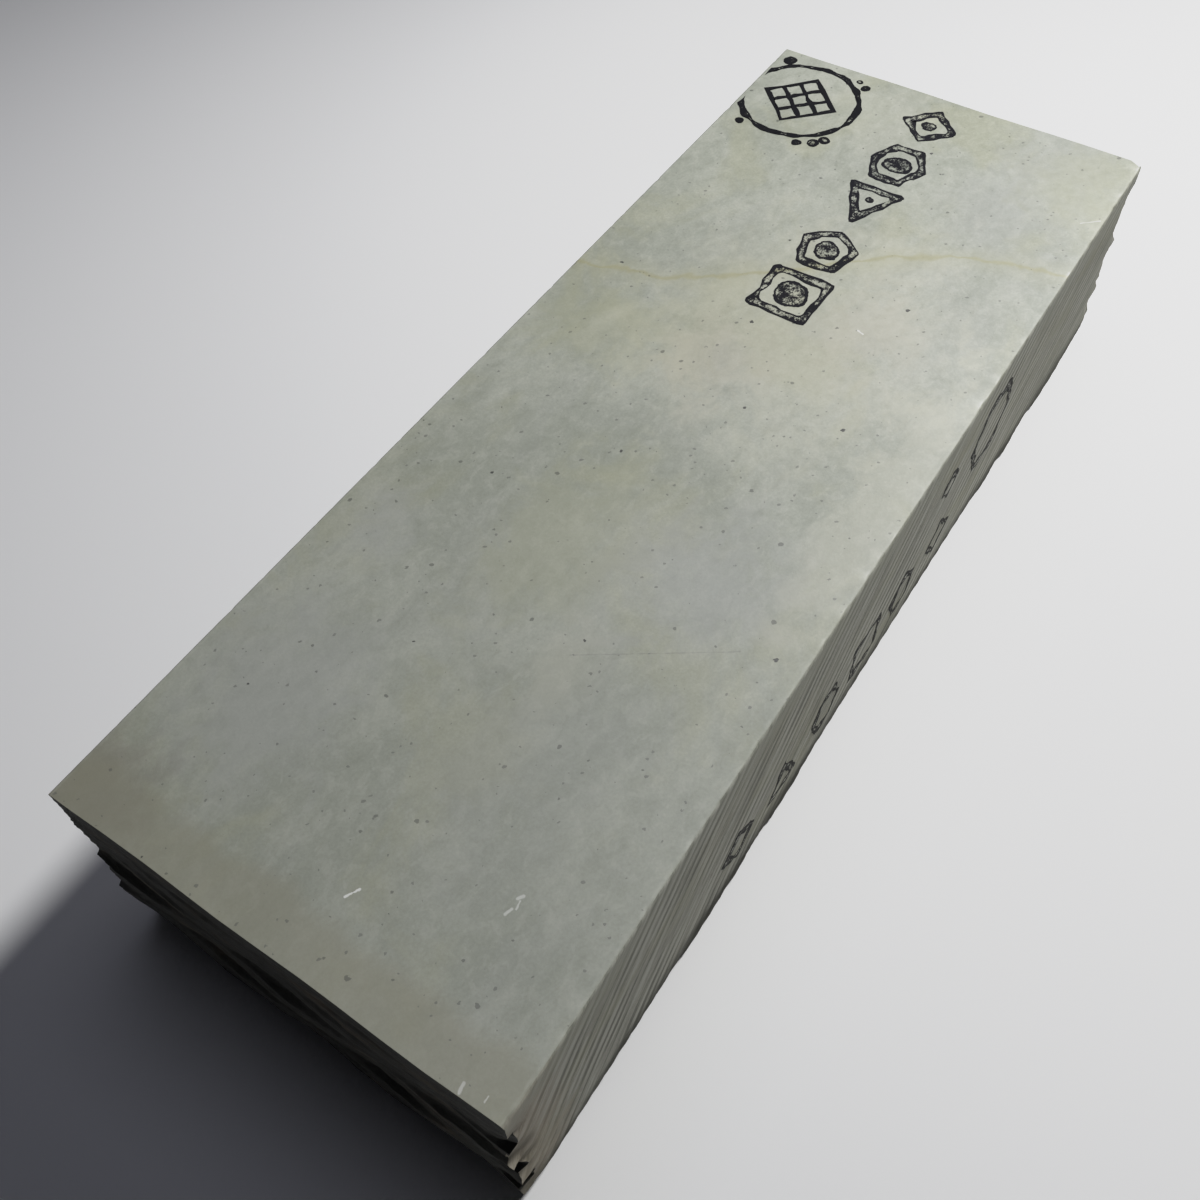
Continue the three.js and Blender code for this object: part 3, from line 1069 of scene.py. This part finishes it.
@dataclass
class StoneBlock:
    """The block of stone: honed on top, sawn on its sides and split at its ends.

    Attributes:
        low: The lowest corner of the block.
        high: Its highest corner.
        margin: The width of the row of faces along each long edge.
        top_chamfer: The ground edge of the top.
        bottom_chamfer: The broken edge of the resting face.
        lines: How many parts the length, width and height are divided into.
        end_cuts: How many more times the faces of the split ends are cut.
        end_reach: How far along the stone the split ends' shape fades out.
    """

    low: Vector
    high: Vector
    margin: float = 1.0 * MM
    top_chamfer: float = 0.4 * MM
    bottom_chamfer: float = 0.8 * MM
    lines: tuple[int, int, int] = (260, 36, 52)
    end_cuts: int = 2
    end_reach: float = 14 * MM

    def build(self, effects: Effects) -> Piece:
        """Makes the block and dresses it.

        Args:
            effects: The shared shader effects.

        Returns:
            The finished piece.
        """
        piece = self.squared_block()
        self.fit_ends(piece)
        self.break_ends(piece)
        self.saw_sides(piece)
        self.wear_edges(piece)
        self.lay_out(piece)
        self.dress(piece, effects)
        return piece

    def squared_block(self) -> Piece:
        """Makes the squared block with its long edges bevelled and its ends finely divided.

        Returns:
            The block, not yet broken, sawn or worn.
        """
        size = self.high - self.low
        middle = (self.high + self.low) / 2
        bpy.ops.object.select_all(action="DESELECT")
        bpy.ops.mesh.primitive_cube_add(size=1, location=middle, scale=size)
        piece = bpy.context.object
        piece.name = "whetstone_block"
        bpy.ops.object.transform_apply(location=True, rotation=True, scale=True)
        with Bench(piece) as bench:
            for side in (-1, 1):
                away = Vector((0, side * (size.y / 2 - self.margin), 0))
                bench.slice_at(middle + away, Vector((0, 1, 0)))
                away = Vector((0, 0, side * (size.z / 2 - self.margin)))
                bench.slice_at(middle + away, Vector((0, 0, 1)))
            for axis, count in enumerate(self.lines):
                bench.cut_lines(axis, count, longer_than=2 * self.margin)
            for height, offset in ((self.high.z, self.top_chamfer),
                                   (self.low.z, self.bottom_chamfer)):
                bench.pick("EDGE", lambda edge: self.is_long_edge(edge, height))
                bpy.ops.mesh.bevel(offset=offset, segments=3, profile=0.42, affect="EDGES")
            bench.pick("EDGE", self.is_honed_rim)
            bpy.ops.mesh.mark_sharp()
            bench.pick("FACE", lambda face: abs(face.normal.x) > 0.9)
            bpy.ops.mesh.subdivide(number_cuts=self.end_cuts)
        self.mark_sides(piece)
        return piece

    def is_long_edge(self, edge: bmesh.types.BMEdge, height: float) -> bool:
        """Tells whether an edge is part of a long edge of the block.

        Args:
            edge: The edge.
            height: The height of the block's long edge.

        Returns:
            Whether it is.
        """
        centre = (edge.verts[0].co + edge.verts[1].co) / 2
        outer = abs(abs(centre.y) - self.high.y) < HAIR and abs(centre.z - height) < HAIR
        return outer and runs_along(edge, 0)

    def is_honed_rim(self, edge: bmesh.types.BMEdge) -> bool:
        """Tells whether an edge lies where the honed face meets its ground edge.

        Args:
            edge: The edge.

        Returns:
            Whether it does.
        """
        rim = self.high.y - self.top_chamfer
        return runs_along(edge, 0) and all(
            abs(abs(end.co.y) - rim) < HAIR and abs(end.co.z - self.high.z) < HAIR
            for end in edge.verts)

    def mark_sides(self, piece: Piece) -> None:
        """Notes on each face which side of the block it belongs to, and gives it its finish.

        Args:
            piece: The block.
        """
        mesh = piece.data
        normals = read(mesh.polygons, "normal", width=3)
        axis = np.abs(normals).argmax(1)
        positive = normals[np.arange(len(axis)), axis] > 0
        sides = np.choose(axis, (
            np.where(positive, Side.FAR.value, Side.NEAR.value),
            np.where(positive, Side.LEFT.value, Side.RIGHT.value),
            np.where(positive, Side.TOP.value, Side.BOTTOM.value),
        ))
        finish = np.full(len(sides), Finish.SAWN.value)
        finish[sides == Side.TOP.value] = Finish.HONED.value
        finish[axis == 0] = Finish.SPLIT.value
        mesh.attributes.new("side", "INT", "FACE").data.foreach_set("value", sides)
        mesh.polygons.foreach_set("material_index", finish)

    def fit_ends(self, piece: Piece) -> None:
        """Moves the flat ends to the ledges of the CAD block, fading out along the stone.

        Args:
            piece: The block.
        """
        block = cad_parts["stone_block"].data
        tree = BVHTree.FromPolygons([v.co for v in block.vertices],
                                    [p.vertices for p in block.polygons])
        middle = (self.high + self.low) / 2
        points = places(piece)
        for index, place in enumerate(points):
            side = 1 if place[0] > 0 else -1
            plane = side * self.high.x
            distance = abs(plane - place[0])
            if distance < self.end_reach:
                found = self.ledge_at(tree, Vector(place), middle, side)
                points[index, 0] += (found - plane) * (1 - distance / self.end_reach)
        put_places(piece, points)

    def ledge_at(self, tree: BVHTree, place: Vector, middle: Vector, side: int) -> float:
        """Finds where a line along the stone meets the CAD block's end.

        Args:
            tree: The CAD block.
            place: A point on the line.
            middle: The middle of the block.
            side: 1 for the far end and -1 for the near one.

        Returns:
            The x of the CAD block's end there.
        """
        outside = side * (self.high.x + self.end_reach)
        for share in (0.998, 0.98, 0.95, 0.9):
            start = middle + (place - middle) * share
            hit, *_ = tree.ray_cast(Vector((outside, start.y, start.z)), Vector((-side, 0, 0)))
            if hit is not None:
                return hit.x
        return side * self.high.x

    def break_ends(self, piece: Piece) -> None:
        """Roughens the split ends along the bedding and knocks their corners off.

        Args:
            piece: The block.
        """
        half = self.high / MM
        for end in SPLIT_ENDS:
            def at_end(p: np.ndarray, ramp: float) -> np.ndarray:
                """Weighs points by how near they are to this end, from nothing at the top."""
                near = fade(half.x - end.side * p[:, 0], self.end_reach / MM)
                return near * np.clip((half.z - p[:, 2]) / ramp, 0.08, 1)

            seed = 40.0 * end.side
            group = weigh(piece, f"{end.name}_beds", lambda p: at_end(p, end.bed_ramp))
            beds = Relief("CLOUDS", (900, 17, 2.3), (0, seed, 3),
                          {"noise_depth": 3, "noise_type": "HARD_NOISE"})
            beds.press(piece, "X", end.beds, 0.35, group)
            flakes = Relief("VORONOI", (900, 7.5, 2.6), (0, seed, 11))
            flakes.press(piece, "X", end.flakes, 0.45, group)
            crumbs = Relief("CLOUDS", (900, 1.9, 1.0), (0, seed, 7), {"noise_depth": 4})
            group = weigh(piece, f"{end.name}_crumbs", lambda p: at_end(p, end.crumb_ramp))
            crumbs.press(piece, "X", end.crumbs, 0.5, group)
            self.chip_corner(piece, end, -1, end.right_chips)
            self.chip_corner(piece, end, 1, end.left_chips)

    def chip_corner(self, piece: Piece, end: SplitEnd, hand: int, depth: float) -> None:
        """Breaks one upright corner in steps along the bedding.

        Args:
            piece: The block.
            end: The end that the corner belongs to.
            hand: 1 for the left side and -1 for the right one.
            depth: How deep the steps are, in millimetres.
        """
        half, reach = self.high / MM, end.corner_reach

        def at_corner(p: np.ndarray) -> np.ndarray:
            """Weighs points by how near they are to the corner."""
            near = fade(half.x - end.side * p[:, 0], reach) * fade(half.y - hand * p[:, 1], reach)
            return near * np.clip((half.z - p[:, 2] - 3) / 5, 0.04, 1)

        steps = Relief("CLOUDS", (30, 30, 3.6), (5, 3, 2 * hand + end.side),
                       {"noise_depth": 1}, (0.34, 0.68))
        group = weigh(piece, f"{end.name}_corner_{hand}", at_corner)
        steps.press(piece, "Y", -depth * hand, 0.0, group)

    def saw_sides(self, piece: Piece) -> None:
        """Presses the saw's strokes into the long sides and roughens the resting face.

        Args:
            piece: The block.
        """
        half = self.high / MM
        for side in LONG_SIDES:
            def on_side(p: np.ndarray) -> np.ndarray:
                """Weighs points on this side, fading out under the honed face."""
                flat = np.abs(half.y - side.hand * p[:, 1]) < 0.05
                return flat * np.clip((half.z - p[:, 2] - 1.5) / 4, 0, 1)

            group = weigh(piece, f"{side.name}_sawn", on_side)
            SAW_RELIEF.press(piece, "Y", -side.hand * SAW_DEPTH_MM, 0.0, group)
        below = weigh(piece, "resting", lambda p: fade(p[:, 2], 0.4))
        lumps = Relief("CLOUDS", (9, 9, 9), look={"noise_depth": 4})
        lumps.press(piece, "Z", 0.35, 0.3, below)

    def wear_edges(self, piece: Piece) -> None:
        """Chips the long edges: lightly along the top, and in longer bites along the bottom.

        Args:
            piece: The block.
        """
        half = self.high / MM
        long_bites = Relief("CLOUDS", (26, 26, 26), (4, 0, 9), {"noise_depth": 5}, (0.35, 0.68))
        chips = Relief("CLOUDS", (1.5, 1.5, 1.5), (4, 0, 9), {"noise_depth": 2}, (0.62, 0.8))
        for side in LONG_SIDES:
            def at_edge(p: np.ndarray, below: np.ndarray, reach: Pair) -> np.ndarray:
                """Weighs points by how near they are to this side and to a height."""
                return fade(half.y - side.hand * p[:, 1], reach[0]) * fade(below, reach[1])

            group = weigh(piece, f"{side.name}_bottom",
                          lambda p: at_edge(p, p[:, 2], side.bite_reach))
            long_bites.press(piece, "Y", -side.bites * side.hand, 0.0, group)
            group = weigh(piece, f"{side.name}_top",
                          lambda p: at_edge(p, half.z - p[:, 2], (side.nick_reach,) * 2))
            chips.press(piece, "Z", -side.nicks, 0.0, group)
            chips.press(piece, "Y", -0.8 * side.nicks * side.hand, 0.0, group)

    def lay_out(self, piece: Piece) -> None:
        """Lays the six sides out flat, side by side, as the piece's own texture map.

        Args:
            piece: The block.
        """
        mesh = piece.data
        size = (self.high - self.low) / MM
        gap = 3.0
        column = 2 * gap + size.x
        rows = [gap + row * (gap + size.y) for row in range(3)]
        rows.append(rows[2] + gap + size.z)
        layout = {
            Side.TOP: (0, 1, gap, rows[0]), Side.BOTTOM: (0, 1, gap, rows[1]),
            Side.RIGHT: (0, 2, gap, rows[2]), Side.LEFT: (0, 2, gap, rows[3]),
            Side.NEAR: (2, 1, column, rows[0]), Side.FAR: (2, 1, column, rows[1]),
        }
        sides = read(mesh.attributes["side"].data, "value", int)
        side_of = np.repeat(sides, read(mesh.polygons, "loop_total", int))
        point = (places(piece)[read(mesh.loops, "vertex_index", int)] - np.array(self.low)) / MM
        flat = np.zeros((len(point), 2))
        for side, (across, up, left, bottom) in layout.items():
            mask = side_of == side.value
            flat[mask] = point[mask][:, [across, up]] + (left, bottom)
        width = column + size.z + gap
        mesh.uv_layers.new(name="OFBake").data.foreach_set("uv", (flat / width).ravel())
        mesh.attributes.remove(mesh.attributes["side"])

    def dress(self, piece: Piece, effects: Effects) -> None:
        """Gives the faces their finishes and ties the piece to the frame.

        Args:
            piece: The block.
            effects: The shared shader effects.
        """
        finishes = (
            StoneFinish("honed_stone", Finish.HONED, (0.4, 0.5), 0.03, 0.35, 0.8),
            StoneFinish("sawn_stone", Finish.SAWN, (0.85, 0.95), 0.16, 0.75, 0.12),
            SplitFinish(),
        )
        for finish in finishes:
            piece.data.materials.append(finish.material(effects))
        piece.vertex_groups.clear()
        take_up(piece)
        bpy.ops.object.shade_smooth_by_angle(angle=math.radians(38))
        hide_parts("stone_block")
        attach(piece, "root")


# ------------------------------------------------------------------ the ink


@dataclass
class InkMarks:
    """A family of ink marks, each a thin film that follows its CAD node.

    Attributes:
        nodes: The CAD nodes' names.
        finish: The ink's finish.
        slot: The record's material slot; not used.
        cuts: How finely each face of the CAD film is divided.
        swell: How much thicker or thinner the drawn line gets, in millimetres.
        waver: How far the drawn line wavers, in millimetres: slowly, and quickly.
        on_side: Whether the marks lie on the sawn side instead of the top.
    """

    RIM = "rim"

    nodes: list[str]
    finish: InkFinish
    slot: Slot
    cuts: int = 4
    swell: float = 0.8
    waver: Pair = (0.8, 0.4)
    on_side: bool = False

    def build(self, effects: Effects) -> list[Piece]:
        """Makes every mark of the family.

        Args:
            effects: The shared shader effects.

        Returns:
            The finished pieces.
        """
        material = self.finish.material(effects)
        return [self.mark(node, material) for node in self.nodes]

    def mark(self, node: str, material: bpy.types.Material) -> Piece:
        """Makes one mark: a finely divided film with a wavering outline.

        Args:
            node: The CAD node that it stands for.
            material: The ink.

        Returns:
            The finished piece.
        """
        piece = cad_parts[node].copy()
        piece.data = piece.data.copy()
        piece.name = f"{node}_ink"
        piece.parent = None
        for key in list(piece.keys()):
            del piece[key]
        bpy.context.scene.collection.objects.link(piece)
        with Bench(piece):
            bpy.ops.mesh.select_all(action="SELECT")
            bpy.ops.mesh.remove_doubles(threshold=0.004 * MM)
            bpy.ops.mesh.tris_convert_to_quads()
            bpy.ops.mesh.subdivide(number_cuts=self.cuts)
            bpy.ops.mesh.normals_make_consistent(inside=False)
        self.shape_lines(piece)
        self.waver_outline(piece)
        if self.on_side:
            SAW_RELIEF.press(piece, "Y", SAW_DEPTH_MM, 0.0)
        piece.data.materials.clear()
        piece.data.materials.append(material)
        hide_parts(node)
        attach(piece, "root")
        return piece

    def shape_lines(self, piece: Piece) -> None:
        """Makes the drawn lines thick and thin, and notes how far each point is from a rim.

        Args:
            piece: The mark.
        """
        up = 1 if self.on_side else 2
        flat = [axis for axis in range(3) if axis != up]
        mesh = bmesh.new()
        mesh.from_mesh(piece.data)
        walls = [face for face in mesh.faces if abs(face.normal[up]) < 0.5]
        ends = np.array([self.foot(face, up) for face in walls])[:, :, flat]
        outward = np.array([face.normal for face in walls])[:, flat]
        mesh.free()
        points = places(piece)
        start, run = ends[:, 0], ends[:, 1] - ends[:, 0]
        away = points[:, None, flat] - start[None]
        share = np.clip((away * run).sum(2) / np.maximum((run * run).sum(1), 1e-14), 0, 1)
        distances = np.linalg.norm(away - share[..., None] * run, axis=2)
        nearest = distances.argmin(1)
        distance = distances.min(1) / MM
        swell = [noise.noise(Vector(point) / MM / 3.1) for point in points]
        push = np.array(swell) * np.clip(1 - distance / 0.85, 0, 1) * self.swell * MM
        points[:, flat] += outward[nearest] * push[:, None]
        put_places(piece, points)
        noted = piece.data.attributes.new(self.RIM, "FLOAT", "POINT")
        noted.data.foreach_set("value", distance)

    def foot(self, wall: bmesh.types.BMFace, up: int) -> tuple[Vector, Vector]:
        """Finds the two points of a wall that lie furthest apart along the outline.

        Args:
            wall: A face of the film's edge.
            up: The axis that the film's thickness runs along.

        Returns:
            The two points, with nothing along that axis.
        """
        corners = [corner.co.copy() for corner in wall.verts]
        for corner in corners:
            corner[up] = 0.0
        return max(product(corners, repeat=2), key=lambda ends: (ends[0] - ends[1]).length)

    def waver_outline(self, piece: Piece) -> None:
        """Lets the drawn lines swell and waver, as a brush or a soft stamp leaves them.

        Args:
            piece: The mark.
        """
        slow, quick = self.waver
        for turn, way in enumerate(("X", "Z") if self.on_side else ("X", "Y")):
            swell = Relief("CLOUDS", (2.6, 2.6, 2.6), (7 * turn, 3, 5))
            swell.press(piece, way, slow, 0.5)
            fray = Relief("CLOUDS", (0.8, 0.8, 0.8), (2, 9 * turn, 4), {"noise_depth": 3})
            fray.press(piece, way, quick, 0.5)


# ------------------------------------------------------------------ the studio


@dataclass
class Studio:
    """A pale table top, one soft lamp beyond the marked end, and the camera.

    Attributes:
        eye: The camera's place.
        turn: The camera's rotation, in degrees about X, Y and Z.
        sensor: The width of the camera's sensor, in millimetres.
        lens: Its focal length, in millimetres.
        lamp: The lamp's place.
        lamp_radius: The radius of the lamp's round face.
        lamp_power: Its power, in watts.
        lamp_cone: The angle of its cone of light, in degrees.
        target: Where it is aimed.
        fill: The brightness of the room around.
        fill_colour: Its colour.
        sky: The place of the large soft light overhead.
        sky_width: Its width.
        sky_power: Its power, in watts.
        sky_colour: Its colour.
        shoulder: Points of the view's tone curve, from light to shown light.
    """

    eye: Triple = (-0.11544, -0.06823, 0.19070)
    turn: Triple = (34.304, 2.336, -56.062)
    sensor: float = 36.0
    lens: float = 36.143
    lamp: Triple = (0.40, -0.139, 0.48)
    lamp_radius: float = 0.046
    lamp_power: float = 17.0
    lamp_cone: float = 80.0
    target: Triple = (0.03, -0.05, 0.0)
    fill: float = 0.012
    fill_colour: Triple = (0.85, 0.87, 1.0)
    sky: Triple = (0.15, 0.12, 0.75)
    sky_width: float = 0.5
    sky_power: float = 0.55
    sky_colour: Triple = (0.82, 0.84, 1.0)
    shoulder: tuple[Pair, ...] = (
        (0.3, 0.3), (0.58, 0.58), (0.7, 0.675), (0.9, 0.74), (1.1, 0.79), (1.6, 0.84))

    def build(self) -> None:
        """Makes the table top, the lamp, the room's light and the camera."""
        self.table()
        self.lights()
        self.camera()
        self.film()

    def table(self) -> None:
        """Makes the pale table top."""
        bpy.ops.object.select_all(action="DESELECT")
        bpy.ops.mesh.primitive_plane_add(size=6.0, location=(0, 0, 0))
        floor = bpy.context.object
        floor.name = "table_top"
        made, graph, shader, point = start_material("pale_table")
        clouds = graph.noise(point, Pattern((180, 180, 180), 2))
        graph.feed(shader.inputs["Base Color"],
                   graph.blend(clouds, (0.83, 0.833, 0.833), (0.86, 0.858, 0.852)))
        shader.inputs["Roughness"].default_value = 0.6
        shader.inputs["Specular IOR Level"].default_value = 0.15
        floor.data.materials.append(made)

    def lights(self) -> None:
        """Makes the lamp, the soft light overhead and the room's light."""
        lamp = bpy.data.lights.new("lamp", "SPOT")
        lamp.shadow_soft_size = self.lamp_radius
        lamp.energy = self.lamp_power
        lamp.spot_size = math.radians(self.lamp_cone)
        lamp.spot_blend = 1.0
        aim = Vector(self.target) - Vector(self.lamp)
        set_up(lamp, self.lamp).rotation_euler = aim.to_track_quat("-Z", "Y").to_euler()
        panel = bpy.data.lights.new("panel", "AREA")
        panel.shape = "DISK"
        panel.size = self.sky_width
        panel.energy = self.sky_power
        panel.color = self.sky_colour
        set_up(panel, self.sky)
        world = bpy.data.worlds.new("room")
        world.use_nodes = True
        light = world.node_tree.nodes["Background"]
        light.inputs["Color"].default_value = (*self.fill_colour, 1.0)
        light.inputs["Strength"].default_value = self.fill
        bpy.context.scene.world = world

    def camera(self) -> None:
        """Makes the camera."""
        lens = bpy.data.cameras.new("camera")
        lens.sensor_width = self.sensor
        lens.lens = self.lens
        lens.clip_start = 0.005
        holder = set_up(lens, self.eye)
        holder.rotation_euler = [math.radians(angle) for angle in self.turn]
        bpy.context.scene.camera = holder

    def film(self) -> None:
        """Sets a plain view with a soft shoulder, so that the lit table top doesn't burn out."""
        view = bpy.context.scene.view_settings
        view.view_transform = "Standard"
        view.use_curve_mapping = True
        mapping = view.curve_mapping
        mapping.clip_max_x = mapping.clip_max_y = self.shoulder[-1][0]
        curve = mapping.curves[3]
        curve.points[1].location = self.shoulder[-1]
        for place in self.shoulder[:-1]:
            curve.points.new(*place)
        mapping.update()


def set_up(data: bpy.types.ID, place: Triple) -> Piece:
    """Sets up a lamp or the camera in the scene.

    Args:
        data: The lamp or camera.
        place: Where it stands.

    Returns:
        The object that holds it.
    """
    holder = bpy.data.objects.new(data.name, data)
    holder.location = place
    bpy.context.scene.collection.objects.link(holder)
    return holder


# ------------------------------------------------------------------ the whole


def named(start: str) -> list[str]:
    """Lists the CAD nodes whose names start with a word."""
    return sorted(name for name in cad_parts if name.startswith(start))


def ink_families() -> Iterable[InkMarks]:
    """Lists the families of ink marks.

    Yields:
        The stamp, the brushed marks on the top and the marks on the right side.
    """
    stamp = InkFinish("stamp_ink", Finish.HONED, (0.006, 0.006, 0.009), 0.42, 0.99, 0.03)
    brush = InkFinish("brush_ink", Finish.HONED, (0.007, 0.007, 0.012), 0.47, 0.98, 0.03)
    faded = InkFinish("faded_ink", Finish.SAWN, (0.012, 0.012, 0.013), 0.48, 0.93, 0.16)
    yield InkMarks(named("stamp_"), stamp, Slot.TOP_INK, cuts=2, swell=0.6, waver=(0.5, 0.3))
    yield InkMarks(named("top_mark_"), brush, Slot.TOP_INK)
    yield InkMarks(named("side_"), faded, Slot.SIDE_INK, cuts=7, on_side=True)


def main() -> None:
    """Builds the studio, the block and the ink, and reports each piece."""
    logging.basicConfig(level=logging.INFO, format="%(message)s")
    Studio().build()
    effects = Effects()
    block = StoneBlock(STONE_LOW, STONE_HIGH).build(effects)
    LOG.info("%s: %d faces", block.name, len(block.data.polygons))
    for family in ink_families():
        for piece in family.build(effects):
            LOG.info("%s: %d faces", piece.name, len(piece.data.polygons))


if __name__ == "__main__":
    main()
